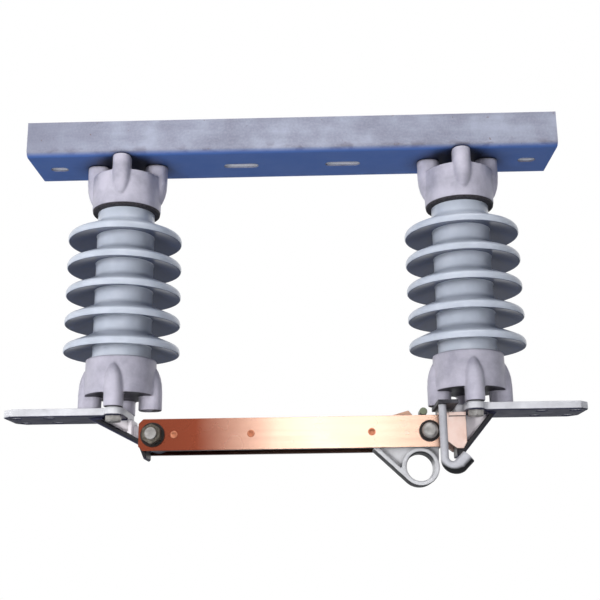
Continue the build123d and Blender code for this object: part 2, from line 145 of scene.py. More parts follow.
print("middle grey in linear light", round(linear("#808080")[0], 3))

# %% Background
def seen_directly(tree):
    """1 for the camera's rays and for those mirrored by metal or passed by glass."""
    seen_by = add_node(tree, "ShaderNodeLightPath")
    mirrored = add_node(tree, "ShaderNodeMath", {"operation": "MAXIMUM"}, links={
        0: seen_by.outputs["Is Camera Ray"], 1: seen_by.outputs["Is Glossy Ray"]})
    return add_node(tree, "ShaderNodeMath", {"operation": "MAXIMUM"}, links={
        0: mirrored.outputs[0], 1: seen_by.outputs["Is Transmission Ray"]}).outputs[0]


pure_white = (1, 1, 1, 1)
world = bpy.data.worlds.new("plain_studio")
bpy.context.scene.world = world
world.use_nodes = True
tree = world.node_tree
tree.nodes.clear()
sky = add_node(tree, "ShaderNodeBackground", values={"Color": linear("#BFCBE6"), "Strength": 0.15})
white = add_node(tree, "ShaderNodeBackground", values={"Color": pure_white, "Strength": 1.0})
mixed = add_node(tree, "ShaderNodeMixShader", links={
    0: seen_directly(tree), 1: sky.outputs[0], 2: white.outputs[0]})
add_node(tree, "ShaderNodeOutputWorld", links={"Surface": mixed.outputs[0]})
print("background", world.name)

# %% Lamps, with places and sizes in metres and power in watts
def soft_lamp(name, at, aim, size, power, mirrored=True):
    """A softbox at a place, turned to a target. Polished metal mirrors it if asked."""
    data = bpy.data.lights.new(name, "AREA")
    data.shape = "RECTANGLE"
    data.size, data.size_y = size
    data.energy = power
    lamp = bpy.data.objects.new(name, data)
    bpy.context.scene.collection.objects.link(lamp)
    lamp.location = at
    lamp.visible_glossy = mirrored
    lamp.rotation_euler = (Vector(aim) - Vector(at)).to_track_quat("-Z", "Y").to_euler()
    return lamp


soft_lamp("key_front_left", (-1.45, -1.9, -0.5), (0, 0.05, -0.25), (0.6, 0.6), 42, mirrored=False)
soft_lamp("low_front_fill", (0.3, -2.3, -0.8), (0, 0, -0.35), (0.8, 0.5), 12, mirrored=False)
soft_lamp("rear_fill", (0.7, 2.4, 0.5), (0, 0.05, -0.25), (1.2, 1.2), 24, mirrored=False)
soft_lamp("overhead", (0.1, -0.7, 1.5), (0, 0.05, -0.2), (1.8, 1.2), 15)
softbox = soft_lamp("blade_softbox", (0.08, -2.15, -0.15), (0.055, 0, -0.44), (0.24, 0.9), 3.2)
softbox.visible_diffuse = False

# %% [markdown]
# ## Floor
# A matt floor catches the soft shadow. Painted white it would still end in a grey horizon,
# so it glows as well, in two ways. Far off it turns white for the camera and for polished
# metal, and runs into the background. Near the switch it glows for the camera alone: metal
# that mirrored this glow would have pale undersides, and real ground is dark.

# %% Floor with two glows
floor_z = -1.15
far_start, far_full = 4.0, 12.0
near_start, near_full, near_share = 1.2, 4.0, 0.45
bpy.ops.object.select_all(action="DESELECT")
bpy.ops.mesh.primitive_plane_add(size=60, location=(0, 0, floor_z))
floor = bpy.context.active_object
floor.name = "floor"
floor_paint = bpy.data.materials.new("matt_studio_floor")
floor_paint.use_nodes = True
tree = floor_paint.node_tree
tree.nodes.clear()
paint = add_node(tree, "ShaderNodeBsdfDiffuse", values={"Color": linear("#DEDEDC")})
glow = add_node(tree, "ShaderNodeEmission", values={"Color": pure_white, "Strength": 1.0})
where = add_node(tree, "ShaderNodeTexCoord").outputs["Object"]
away = add_node(tree, "ShaderNodeVectorMath", {"operation": "LENGTH"}, links={0: where})
far_off = add_node(tree, "ShaderNodeMapRange", values={
    "From Min": far_start, "From Max": far_full}, links={"Value": away.outputs["Value"]})
mirrored = add_node(tree, "ShaderNodeMath", {"operation": "MULTIPLY"}, links={
    0: seen_directly(tree), 1: far_off.outputs[0]})
near_by = add_node(tree, "ShaderNodeMapRange", values={
    "From Min": near_start, "From Max": near_full, "To Min": near_share},
    links={"Value": away.outputs["Value"]})
watched = add_node(tree, "ShaderNodeMath", {"operation": "MULTIPLY"}, links={
    0: add_node(tree, "ShaderNodeLightPath").outputs["Is Camera Ray"], 1: near_by.outputs[0]})
share = add_node(tree, "ShaderNodeMath", {"operation": "MAXIMUM"}, links={
    0: mirrored.outputs[0], 1: watched.outputs[0]})
mixed = add_node(tree, "ShaderNodeMixShader", links={
    0: share.outputs[0], 1: paint.outputs[0], 2: glow.outputs[0]})
add_node(tree, "ShaderNodeOutputMaterial", links={"Surface": mixed.outputs[0]})
floor.data.materials.append(floor_paint)
print("floor at z", floor.location.z)

# %% [markdown]
# ## Helpers for the materials
# Each finish below is a tone with other colours laid over it: a cloudy pattern gives the
# base, and masks say where dirt, stains or shade cover it. All this could be painted on
# pictures, but patterns on object coordinates stay sharp at any distance and need no file.
# Sizes of patterns are given in millimetres, so that a learner can measure them on the
# real surface.

# %% A new material and its patterns
def new_material(name, roughness, metallic, **sockets):
    """Empty principled material. Gives its tree, its shader and its object coordinates."""
    made = bpy.data.materials.new(name)
    made.use_nodes = True
    tree = made.node_tree
    tree.nodes.clear()
    shader = add_node(tree, "ShaderNodeBsdfPrincipled", values={
        "Roughness": roughness, "Metallic": metallic, **sockets})
    add_node(tree, "ShaderNodeOutputMaterial", links={"Surface": shader.outputs[0]})
    where = add_node(tree, "ShaderNodeTexCoord").outputs["Object"]
    return made, tree, shader, where


def grain(tree, where, size_mm, detail=3.0, stretch=(1, 1, 1)):
    """Cloudy pattern whose blobs are about size_mm across, squeezed along an axis if asked."""
    # Noise of scale 1 has blobs of about half a metre.
    squeezed = add_node(tree, "ShaderNodeMapping", values={"Scale": stretch},
                        links={"Vector": where})
    return add_node(tree, "ShaderNodeTexNoise", values={
        "Scale": 1000 / (2 * size_mm), "Detail": detail, "Roughness": 0.55},
        links={"Vector": squeezed.outputs[0]}).outputs["Fac"]


def mottled(tree, where, size_mm, stops, detail=3.0):
    """A grain as a plain pattern and as a tone. Stops are (place, hex colour)."""
    pattern = grain(tree, where, size_mm, detail)
    made = add_node(tree, "ShaderNodeValToRGB", links={"Fac": pattern})
    band = made.color_ramp
    while len(band.elements) < len(stops):
        band.elements.new(0.5)
    for element, (place, colour) in zip(band.elements, stops):
        element.position = place
        element.color = linear(colour)
    return pattern, made.outputs["Color"]


# The finish of each material slot. Every finish is added below as soon as it is made.
materials = {}

# %% Colours laid over a tone, and the finished surface
def lay_over(tree, tone, colour, mask, start=0.0, full=1.0, most=1.0):
    """Lay a colour over a tone as the mask goes from start to full, at most this share."""
    share = add_node(tree, "ShaderNodeMapRange", values={
        "From Min": start, "From Max": full, "To Max": most}, links={"Value": mask})
    # In a mix of colours, sockets 6 and 7 are the two colours and output 2 is the result.
    values, links = {7: linear(colour)}, {0: share.outputs[0]}
    if isinstance(tone, str):
        values[6] = linear(tone)
    else:
        links[6] = tone
    return add_node(tree, "ShaderNodeMix", {"data_type": "RGBA"}, values, links).outputs[2]


def tilt(tree):
    """The height of the surface's normal: 1 faces up, 0 sideways, -1 down."""
    normal = add_node(tree, "ShaderNodeNewGeometry").outputs["Normal"]
    return add_node(tree, "ShaderNodeSeparateXYZ", links={0: normal}).outputs["Z"]


def hollow_shade_mask(tree, reach_mm=9, low=0.35, high=0.8):
    """1 deep in corners and hollows, where shade is painted, 0 on open faces."""
    open_sky = add_node(tree, "ShaderNodeAmbientOcclusion", {"samples": 6}, {
        "Distance": reach_mm * mm})
    return add_node(tree, "ShaderNodeMapRange", values={"From Min": high, "From Max": low},
                    links={"Value": open_sky.outputs["AO"]}).outputs[0]


def give_surface(tree, shader, tone, relief=None, depth_mm=0.0, strength=1.0, gloss=None):
    """Link the tone, a relief depth_mm deep and a gloss: a pattern with two roughnesses."""
    tree.links.new(tone, shader.inputs["Base Color"])
    if relief:
        bump = add_node(tree, "ShaderNodeBump", values={
            "Distance": depth_mm * mm, "Strength": strength}, links={"Height": relief})
        tree.links.new(bump.outputs[0], shader.inputs["Normal"])
    if gloss:
        # Noise rarely leaves 0.3 to 0.7, so that range spans the two roughnesses.
        pattern, smooth, dull = gloss
        varied = add_node(tree, "ShaderNodeMapRange", values={
            "From Min": 0.3, "From Max": 0.7, "To Min": smooth, "To Max": dull},
            links={"Value": pattern})
        tree.links.new(varied.outputs[0], shader.inputs["Roughness"])


# Painted shade on faces that look at the ground begins at the first tilt and is full at the second.
underside_shade_tilts = (-0.35, -0.9)
print("faces look at the ground between", underside_shade_tilts)

# %% Masks by place
def level_band(axis, low, high, blur=1.5 * mm):
    """A mask that is 1 between two places along an axis and fades over blur beyond them."""
    def mask(tree, where):
        part = add_node(tree, "ShaderNodeSeparateXYZ", links={0: where}).outputs[axis]
        steps = [add_node(tree, "ShaderNodeMapRange", values={"From Min": start, "From Max": full},
                          links={"Value": part}).outputs[0]
                 for start, full in ((low - blur, low), (high + blur, high))]
        return add_node(tree, "ShaderNodeMath", {"operation": "MULTIPLY"}, links={
            0: steps[0], 1: steps[1]}).outputs[0]
    return mask


def blotches(size_mm, start, full, detail, stretch):
    """A mask of ragged patches of this size."""
    def mask(tree, where):
        return add_node(tree, "ShaderNodeMapRange", values={"From Min": start, "From Max": full},
                        links={"Value": grain(tree, where, size_mm, detail, stretch)}).outputs[0]
    return mask


def both_masks(first, second):
    """A mask where two masks meet."""
    def mask(tree, where):
        return add_node(tree, "ShaderNodeMath", {"operation": "MULTIPLY"}, links={
            0: first(tree, where), 1: second(tree, where)}).outputs[0]
    return mask


# A band without an end runs this far, beyond every piece.
far = 1.0
print("a band without an end runs to", far, "m")

# %% [markdown]
# ## Galvanised channel
# Hot-dip galvanised steel is dipped in molten zinc. New zinc shines, but outdoors it
# weathers to a dull, mottled grey with only a little metal left in its gloss. Clouds of some
# centimetres give the lavender patina, long thin streaks come from the rolling mill, and a
# relief of a tenth of a millimetre breaks the highlights. Grime sits along the low edge,
# and small rust spots show where the zinc has gone. The colour darkens towards the left end.
# The web that faces the ground gets painted shade in dark blue, and corners and hollows get
# painted shade in near black. The inside gets painted light, so it is pale.

# %% Weathered zinc of the channel
zinc, tree, shader, where = new_material("weathered_hot_dip_zinc", 0.5, 0.15)
patina = [(0.32, "#888A9B"), (0.5, "#9A9DAF"), (0.68, "#AEB3C5")]
clouds, tone = mottled(tree, where, 26, patina, 4)
# Streaks from the rolling mill, then the spangle of the zinc's crystals.
streaks = grain(tree, where, 9, stretch=(0.12, 1, 1))
spangle = grain(tree, where, 1.6, 2)
tone = lay_over(tree, tone, "#7B7D8F", streaks, 0.35, 0.75, 0.5)
tone = lay_over(tree, tone, "#C9CCDA", spangle, 0.4, 0.7, 0.15)
# Ragged grime along the low edge, the colour darkening towards the left end, and the rust spots.
grime = both_masks(level_band("Z", -far, web_z + 1 * mm, 13 * mm),
                   blotches(5, 0.5, 0.62, 4, (0.5, 1, 1)))
tone = lay_over(tree, tone, "#6C6570", grime(tree, where), most=0.8)
along = add_node(tree, "ShaderNodeSeparateXYZ", links={0: where}).outputs["X"]
left_end = channel_low.x + 10 * mm
tone = lay_over(tree, tone, "#7E8092", along, left_end + 120 * mm, left_end, 0.45)
tone = lay_over(tree, tone, "#74594C", grain(tree, where, 3.5), 0.7, 0.76, 0.7)
# Painted shade in dark blue on the web, painted light on the inside, painted shade in the corners.
tone = lay_over(tree, tone, "#4A6CB0", tilt(tree), *underside_shade_tilts)
inside = both_masks(level_band("Y", channel_low.y + 8 * mm, channel_high.y - 4 * mm, 1 * mm),
                    level_band("Z", web_z + 3 * mm, far, 1 * mm))
tone = lay_over(tree, tone, "#E6E9F2", inside(tree, where))
tone = lay_over(tree, tone, "#15182A", hollow_shade_mask(tree, 30, 0.45, 0.95))
relief = add_node(tree, "ShaderNodeMix", values={0: 0.5}, links={2: spangle, 3: streaks})
give_surface(tree, shader, tone, relief.outputs[0], 0.1, gloss=(clouds, 0.45, 0.6))
materials["galvanised_channel"] = zinc
print("zinc nodes", len(tree.nodes))

# %% [markdown]
# ## Galvanised castings
# Cast iron comes from a sand mould and is then dipped in zinc: the sand leaves a skin with
# pebbles of one or two millimetres, rounded over by the zinc. Caps, brackets and lever are
# made so, each in its own grey. The hook is a forged rod in the same zinc, with a finer
# skin. So one function gives the finish of all. Shade is painted into the hollows and onto
# faces that look down. The outer edges of the sloping flanges are painted black as shade
# too. The mask for that follows each sloping flange from end to end.

# %% A zinc finish for any casting
def cast_zinc(name, stops, down, rough=(0.36, 0.5), metallic=0.12, pebble_mm=1.6, depth_mm=0.1,
              hollow_shade_share=0.75, stains_and_painted_light=(), shade=(-0.1, -0.5)):
    """Galvanised casting. Stains, and painted light and shade, are (function that gives a mask,
    colour) laid over the zinc.
    """
    made, tree, shader, where = new_material(name, 0.5, metallic)
    clouds, tone = mottled(tree, where, 14, stops)
    pebbles = grain(tree, where, pebble_mm)
    # Bright tops of the pebbles, stains with painted light and shade, and painted shade in the
    # hollows and on faces below.
    tone = lay_over(tree, tone, "#DEDEE8", pebbles, 0.5, 0.8, 0.15)
    for mask, colour in stains_and_painted_light:
        tone = lay_over(tree, tone, colour, mask(tree, where))
    tone = lay_over(tree, tone, "#2A262C", hollow_shade_mask(tree), most=hollow_shade_share)
    tone = lay_over(tree, tone, down, tilt(tree), *shade)
    give_surface(tree, shader, tone, pebbles, depth_mm, gloss=(clouds, *rough))
    return made


print("one finish for", ["caps", "brackets", "lever", "hook"])

# %% Painted shade on the edges of the sloping flanges
def sloping_strip(tree, where, start, end, thickness, outside):
    """1 on the two outer edges of a flange that slopes from start to end, given as (x, z)."""
    run, fall = end[0] - start[0], end[1] - start[1]
    length = (run * run + fall * fall) ** 0.5
    across = add_node(tree, "ShaderNodeVectorMath", {"operation": "SUBTRACT"}, {
        1: (start[0], 0, start[1])}, {0: where})
    depth = add_node(tree, "ShaderNodeVectorMath", {"operation": "DOT_PRODUCT"}, {
        1: (-fall / length, 0, run / length)}, {0: across.outputs[0]})
    near = add_node(tree, "ShaderNodeMath", {"operation": "ABSOLUTE"}, links={
        0: depth.outputs["Value"]})
    parts = add_node(tree, "ShaderNodeSeparateXYZ", links={0: where})
    aside = add_node(tree, "ShaderNodeMath", {"operation": "SUBTRACT"}, {1: centre_y}, {
        0: parts.outputs["Y"]})
    aside = add_node(tree, "ShaderNodeMath", {"operation": "ABSOLUTE"}, links={0: aside.outputs[0]})
    share = None
    # Each line holds a measure, the place where the mask is 0 and the place where it is 1.
    for value, none, full in ((near.outputs[0], thickness + 0.8 * mm, thickness),
                              (aside.outputs[0], outside - 2 * mm, outside - 1 * mm),
                              (parts.outputs["Z"], start[1], start[1] - 1 * mm)):
        step = add_node(tree, "ShaderNodeMapRange", values={"From Min": none, "From Max": full},
                        links={"Value": value}).outputs[0]
        share = step if share is None else add_node(
            tree, "ShaderNodeMath", {"operation": "MULTIPLY"}, links={0: share, 1: step}).outputs[0]
    return share


plate_bottom = seat_z - 11 * mm
flange_thickness, flange_half = 7 * mm, 19.5 * mm
hinge_tip_outset, hinge_low_outset, hinge_low_drop = 38.6 * mm, 21.5 * mm, 10.5 * mm
jaw_tip_outset, jaw_low_inset, jaw_low_drop = 31 * mm, 17 * mm, 11 * mm
hinge_flange = ((hinge_post_x - hinge_tip_outset, plate_bottom),
                (pivot.x - hinge_low_outset, pivot.z - hinge_low_drop))
jaw_flange = ((jaw_post_x + jaw_tip_outset, plate_bottom),
              (jaw_post_x - jaw_low_inset, blade_low.z - jaw_low_drop))


def flange_edge_shade(tree, where):
    """Mask of the painted shade on the edges of both sloping flanges."""
    masks = [sloping_strip(tree, where, *line, flange_thickness, flange_half)
             for line in (hinge_flange, jaw_flange)]
    return add_node(tree, "ShaderNodeMath", {"operation": "MAXIMUM"}, links={
        0: masks[0], 1: masks[1]}).outputs[0]


print("flanges from", [round(start[0], 4) for start, _ in (hinge_flange, jaw_flange)])

# %% Caps, brackets, lever and hook
# Every casting gets painted shade in its hollows and on faces that look down. The hook's starts on
# faces that barely turn down.
materials["cap_casting"] = cast_zinc(
    "galvanised_cast_iron", [(0.3, "#A29FAE"), (0.5, "#B7B4C2"), (0.7, "#C8C4D2")], "#15141F",
    shade=(-0.45, -0.95))
# On the bracket the web gets painted light, and the flange edges and all below the lugs get painted
# shade in near black.
web_painted_light = level_band("Z", pivot.z - 12 * mm, plate_bottom - 4 * mm, 3 * mm)
shade_below_lugs = level_band("Z", -far, pivot.z - hinge_low_drop)
materials["bracket_casting"] = cast_zinc(
    "zinc_on_bracket_casting", [(0.3, "#BEBEC3"), (0.5, "#D2D2D7"), (0.7, "#E0E0E4")], "#20213E",
    hollow_shade_share=0.3, stains_and_painted_light=((web_painted_light, "#E6E0E4"), (flange_edge_shade, "#131219"), (shade_below_lugs, "#1A181D")))
# Above the bars the lever's crest gets a painted reflection of the copper, and its nose has gone
# green.
above_bars = level_band("Z", blade_high.z, 0)
crest = both_masks(above_bars, level_band("X", -far, jaw_bolt.x - 14 * mm))
nose = both_masks(above_bars, level_band("X", jaw_bolt.x - 13 * mm, far))
materials["ring_casting"] = cast_zinc(
    "bright_zinc_casting", [(0.3, "#BDBDC0"), (0.5, "#CECED1"), (0.7, "#DCDCDF")], "#141418",
    hollow_shade_share=0.5, stains_and_painted_light=((crest, "#C99F88"), (nose, "#747C66")))
materials["hook_steel"] = cast_zinc(
    "zinc_on_forged_rod", [(0.3, "#A4A4AA"), (0.5, "#B4B4BA"), (0.7, "#C2C2C8")], "#0C0C10",
    pebble_mm=1.2, depth_mm=0.08, hollow_shade_share=0.5, shade=(-0.02, -0.35))
print("cast and forged", [name for name in materials if name != "galvanised_channel"])

# %% [markdown]
# ## Bolts, nut and washers
# Machined bolts and washers have a thin plating, so more metal shows in their gloss. Their
# turning marks are too fine to see from here and are drawn as a mottle of some millimetres.
# The hinge runs in grease, which creeps out and holds dust: its nut is brown grey, and the
# washers beside the bars are nearly black with a weak greasy gloss.

# %% Plated, greasy and black steel
plated, tree, shader, where = new_material("plated_bolt_steel", 0.35, 0.85)
pattern, tone = mottled(tree, where, 5, [(0.3, "#8C8A88"), (0.5, "#ACA9A7"), (0.7, "#C6C4C2")])
give_surface(tree, shader, tone, grain(tree, where, 0.8, 2), 0.05, gloss=(pattern, 0.38, 0.55))
materials["bolt_steel"] = plated
oiled, tree, shader, where = new_material("greasy_nut_steel", 0.5, 0.35)
pattern, tone = mottled(tree, where, 3, [(0.3, "#38342C"), (0.5, "#565148"), (0.7, "#7A746A")])
give_surface(tree, shader, tone, pattern, 0.06)
black, tree, shader, where = new_material("greasy_black_washer", 0.5, 0.2)
pattern, tone = mottled(tree, where, 4, [(0.35, "#0F0B0B"), (0.65, "#261D1B")])
give_surface(tree, shader, tone, pattern, 0.05)
print("steels", plated.name, oiled.name, black.name)

# %% [markdown]
# ## Glazed porcelain
# The posts are fired clay under a sky-grey glaze. A glaze is glass, so there is no metal in
# its gloss but a clear, very smooth coat. Dust on it gives a faint mottle, and the glaze
# waves a little where it ran. The undersides are painted dark blue, as shade and as a
# reflection of the dark ground.

# %% Sky-grey glaze
glaze, tree, shader, where = new_material(
    "sky_grey_glazed_porcelain", 0.3, 0.0, **{"Coat Weight": 0.25, "Coat Roughness": 0.08})
tone = mottled(tree, where, 18, [(0.3, "#B4BBC7"), (0.5, "#BDC4D1"), (0.7, "#C7CDD9")])[1]
# Painted shade on the undersides, in dark blue.
tone = lay_over(tree, tone, "#2C3B60", tilt(tree), -0.8, -0.94)
give_surface(tree, shader, tone, grain(tree, where, 9, 2), 0.1, 0.5)
materials["porcelain_glaze"] = glaze
print("glaze nodes", len(tree.nodes))

# %% [markdown]
# ## Cement
# Neat cement fills the joint between cup and porcelain. The upper joints are sealed with
# black bitumen paint, which lies thick and a little sandy, nearly without gloss. The lower
# ones are bare and grey.

# %% Bitumen and bare cement
joint, tree, shader, where = new_material("bitumen_on_cement", 0.75, 0.0)
sand, tone = mottled(tree, where, 1.4, [(0.35, "#1B191C"), (0.65, "#38343A")])
give_surface(tree, shader, tone, sand, 0.5)
materials["cement"] = joint
grey_joint, tree, shader, where = new_material("bare_neat_cement", 0.85, 0.0)
sand, tone = mottled(tree, where, 1.4, [(0.35, "#77798A"), (0.65, "#9A9CAA")])
give_surface(tree, shader, tone, sand, 0.3)

# %% [markdown]
# ## Copper
# Hard-drawn copper bar leaves the die smooth, so its flat face mirrors the sky softly. The
# hinge end has tarnished to red brown. The rest is bright copper with a painted sheen, a
# paler colour where it mirrors the softbox, with a ragged border. Very thin drawing lines
# run along it. The inner faces, between the bars, and faces that look down get painted
# shade. The jaw contacts are a paler, duller copper with painted shade below, and the
# rivets are rubbed to a warm gloss.

# %% Drawn copper of the bars
bar_inner = centre_y - blade_high.y
tarnish, bright_copper_and_sheen = "#8C4632", "#E0BAA5"
tarnish_end, sheen_start = blade_low.x + 72 * mm, blade_low.x + 185 * mm
border_shift, raggedness = -0.15, 0.3
bar, tree, shader, where = new_material("drawn_copper_bar", 0.3, 1.0)
# The border between tarnish and the bright copper with its painted sheen is made ragged by the
# clouds.
clouds = grain(tree, where, 30, stretch=(0.7, 1, 1))
lines = grain(tree, where, 2.2, stretch=(0.03, 1, 1))
parts = add_node(tree, "ShaderNodeSeparateXYZ", links={0: where})
along = add_node(tree, "ShaderNodeMapRange", values={
    "From Min": tarnish_end, "From Max": sheen_start},
    links={"Value": parts.outputs["X"]})
edge = add_node(tree, "ShaderNodeMath", {"operation": "ADD"}, {1: border_shift}, {
    0: along.outputs[0]})
ragged = add_node(tree, "ShaderNodeMath", {"operation": "MULTIPLY_ADD"}, {1: raggedness}, {
    0: clouds, 2: edge.outputs[0]})
tone = lay_over(tree, tarnish, bright_copper_and_sheen, ragged.outputs[0], 0.05, 0.95)
tone = lay_over(tree, tone, tarnish, lines, 0.4, 0.7, 0.1)
# Painted shade on the inner faces, those nearer to the middle plane between the bars, and on faces
# that look down.
depth = add_node(tree, "ShaderNodeMath", {"operation": "SUBTRACT"}, {1: centre_y}, {
    0: parts.outputs["Y"]})
from_middle = add_node(tree, "ShaderNodeMath", {"operation": "ABSOLUTE"}, links={
    0: depth.outputs[0]})
tone = lay_over(tree, tone, "#3A211C", from_middle.outputs[0],
                bar_inner + 0.4 * mm, bar_inner, 0.85)
tone = lay_over(tree, tone, "#2E1416", tilt(tree), *underside_shade_tilts)
give_surface(tree, shader, tone, lines, 0.004, gloss=(clouds, 0.24, 0.3))
materials["copper_bar"] = bar
print("copper nodes", len(tree.nodes))

# %% Pale copper of the contacts and rubbed copper of the rivets
pale, tree, shader, where = new_material("pale_copper_contact", 0.4, 0.8)
clouds, tone = mottled(tree, where, 12, [(0.3, "#E8C6B8"), (0.5, "#F4D8CD"), (0.7, "#F8E2DA")])
# Painted shade on faces that look down.
tone = lay_over(tree, tone, "#4A2A26", tilt(tree), *underside_shade_tilts)
give_surface(tree, shader, tone, grain(tree, where, 1.5, 2), 0.04, gloss=(clouds, 0.36, 0.48))
materials["copper_contact"] = pale
rubbed, tree, shader, where = new_material("rubbed_copper_rivet", 0.35, 0.9)
give_surface(tree, shader, mottled(tree, where, 2, [(0.3, "#B96E50"), (0.7, "#CF8B6D")])[1])
print("materials", sorted(materials))

# %% [markdown]
# ## First dress
# Every node of the frame gets the finish of its slot. Those that are good as they are, such
# as the spacers between the bars, only need this.

# %% Dress the frame's nodes
node_slot = {part["node"]: part["material_slot"] for part in frame["record"]["subparts"]}
for node, obj in frame["nodes"].items():
    obj.data.materials.clear()
    obj.data.materials.append(materials[node_slot[node]])
print("nodes dressed", len(node_slot))

# %% [markdown]
# ## Working on a copy of a solid
# A node's mesh is loose triangles, and it never changes. A piece that only needs softer
# edges starts from a copy: its double points are merged, its flat triangles are joined back
# into faces, and a small bevel rounds the edges. Real edges are never perfectly sharp, and
# the bevel is what catches the light. Each finished piece then takes the place of its node
# and rides on the same body.

# %% Copies and modifiers
# The body that carries each node: the name of its parent after the colon.
body_of = {node: obj.parent.name.split(":", 1)[-1] for node, obj in frame["nodes"].items()}


def only(*objects):
    """Select these objects alone and make the first one active."""
    bpy.ops.object.select_all(action="DESELECT")
    for obj in objects:
        obj.select_set(True)
    bpy.context.view_layer.objects.active = objects[0]


def merged_copy(node, name, flat=True):
    """A copy of a node's mesh with its points merged, and its flat faces joined if asked."""
    made = bpy.data.objects.new(name, frame["nodes"][node].data.copy())
    bpy.context.scene.collection.objects.link(made)
    only(made)
    bpy.ops.mesh.customdata_custom_splitnormals_clear()
    bpy.ops.object.mode_set(mode="EDIT")
    bpy.ops.mesh.select_all(action="SELECT")
    bpy.ops.mesh.remove_doubles(threshold=0.002 * mm)
    if flat:
        bpy.ops.mesh.dissolve_limited(angle_limit=radians(0.4))
    bpy.ops.object.mode_set(mode="OBJECT")
    return made


def apply_modifier(obj, kind, **settings):
    """Add a modifier with its settings and apply it."""
    only(obj)
    made = obj.modifiers.new(kind.lower(), kind)
    for name, value in settings.items():
        setattr(made, name, value)
    bpy.ops.object.modifier_apply(modifier=made.name)


def smooth_by_angle(obj, degrees=35):
    """Shade the piece smooth, apart from edges that turn by more than the angle."""
    only(obj)
    bpy.ops.object.shade_smooth_by_angle(angle=radians(degrees))


def placed_copy(source, name, shift=(0, 0, 0), turn=(0, 0, 0)):
    """A copy with its own mesh, turned and then shifted, its origin left at zero."""
    made = bpy.data.objects.new(name, source.data.copy())
    bpy.context.scene.collection.objects.link(made)
    made.rotation_euler = turn
    made.location = shift
    only(made)
    bpy.ops.object.transform_apply(location=True, rotation=True, scale=True)
    return made


print("bodies that carry the pieces", sorted(set(body_of.values())))

# %% A piece that stands for a node
def stand_for(obj, *nodes, finish=None):
    """Give a piece the finish and the body of the nodes that it stands for."""
    slot = node_slot[nodes[0]]
    obj.data.materials.clear()
    obj.data.materials.append(finish or materials[slot])
    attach(obj, body_of[nodes[0]])
    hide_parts(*nodes)
    return obj


def softened(node, name, round_mm, finish=None):
    """A node's copy with every sharp edge rounded."""
    made = merged_copy(node, name)
    apply_modifier(made, "BEVEL", width=round_mm * mm, segments=2, limit_method="ANGLE",
                   angle_limit=radians(30))
    smooth_by_angle(made)
    # Smooth shading alone bends the normals of a large face towards its bevels and draws
    # streaks on polished copper. Weighted by area, the flat faces keep theirs.
    apply_modifier(made, "WEIGHTED_NORMAL", keep_sharp=True, weight=100)
    return stand_for(made, node, finish=finish)


def joined(name, *pieces):
    """Join pieces into one, which keeps the name."""
    only(*pieces)
    bpy.ops.object.join()
    pieces[0].name = name
    return pieces[0]


print("nodes that can be replaced", len(body_of))

# %% Cylinders and their rings
def cylinder(name, radius, height, centre=(0, 0, 0), sides=64):
    """A plain cylinder along Z about its centre, its origin left at zero."""
    bpy.ops.object.select_all(action="DESELECT")
    bpy.ops.mesh.primitive_cylinder_add(
        vertices=sides, radius=radius, depth=height, location=centre)
    made = bpy.context.active_object
    made.name = name
    bpy.ops.object.transform_apply(location=True)
    return made


def select_rings(obj, heights):
    """In edit mode, select the level edges that lie at these heights."""
    bpy.ops.mesh.select_all(action="DESELECT")
    mesh = bmesh.from_edit_mesh(obj.data)
    for edge in mesh.edges:
        low, high = sorted(point.co.z for point in edge.verts)
        if high - low < 0.001 * mm and any(abs(low - height) < 0.02 * mm for height in heights):
            edge.select_set(True)
    bmesh.update_edit_mesh(obj.data)


def cut_ring(height):
    """Cut a level ring of edges round the whole piece."""
    bpy.ops.mesh.select_all(action="SELECT")
    bpy.ops.mesh.bisect(plane_co=(0, 0, height), plane_no=(0, 0, 1))


upside_down, facing_front, facing_rear = (pi, 0, 0), (pi / 2, 0, 0), (-pi / 2, 0, 0)
print("turns", upside_down, facing_front, facing_rear)

# %% [markdown]
# ## Channel, strap, contacts and bars
# These are cut from rolled stock: the saw and the punch leave crisp edges, which the zinc
# or the polishing wheel rounds by less than a millimetre. The strap kept the black scale
# of the rolling mill, a dark oxide with patches of some millimetres and hardly any gloss.

# %% Rolled pieces with rounded edges
softened("base_channel", "channel_with_soft_edges", 0.7)
black_iron, tree, shader, where = new_material("black_iron_strap", 0.55, 0.3)
scale_marks, tone = mottled(tree, where, 5, [(0.35, "#232228"), (0.65, "#4A494F")], 4)
give_surface(tree, shader, tone, scale_marks, 0.08)
softened("hook_strap", "strap_with_soft_edges", 0.8, black_iron)
for side in ("front", "rear"):
    softened(f"jaw_contact_{side}", f"contact_{side}_with_soft_edges", 0.9)
    softened(f"blade_{side}", f"bar_{side}_with_soft_edges", 0.8)

# %% [markdown]
# ## Castings
# The caps, brackets and latch lever were poured in sand. Every inner corner of a casting
# has a fillet, because a sharp one cracks as the iron cools, and every outer edge is round.
# Picking edges one by one would take long. Instead the copy is rebuilt from small voxels,
# like sand grains, and smoothed a few times: that fills inner corners and wears outer ones.
# The forged hook is worn round by the hammer, and gets the same treatment in finer steps.

# %% Helper for a casting
def sand_cast(obj, voxel_mm, rounds):
    """Rebuild a piece from voxels and smooth it, so that all its corners are soft."""
    apply_modifier(obj, "REMESH", mode="VOXEL", voxel_size=voxel_mm * mm)
    apply_modifier(obj, "SMOOTH", factor=0.5, iterations=rounds)
    only(obj)
    bpy.ops.object.shade_smooth()
    return obj


def cast_from(node, name, voxel_mm, rounds):
    """A node's copy, cast again with soft corners."""
    return sand_cast(merged_copy(node, name, flat=False), voxel_mm, rounds)


print("nodes to be cast", [name for name in node_slot if node_slot[name].endswith("casting")])

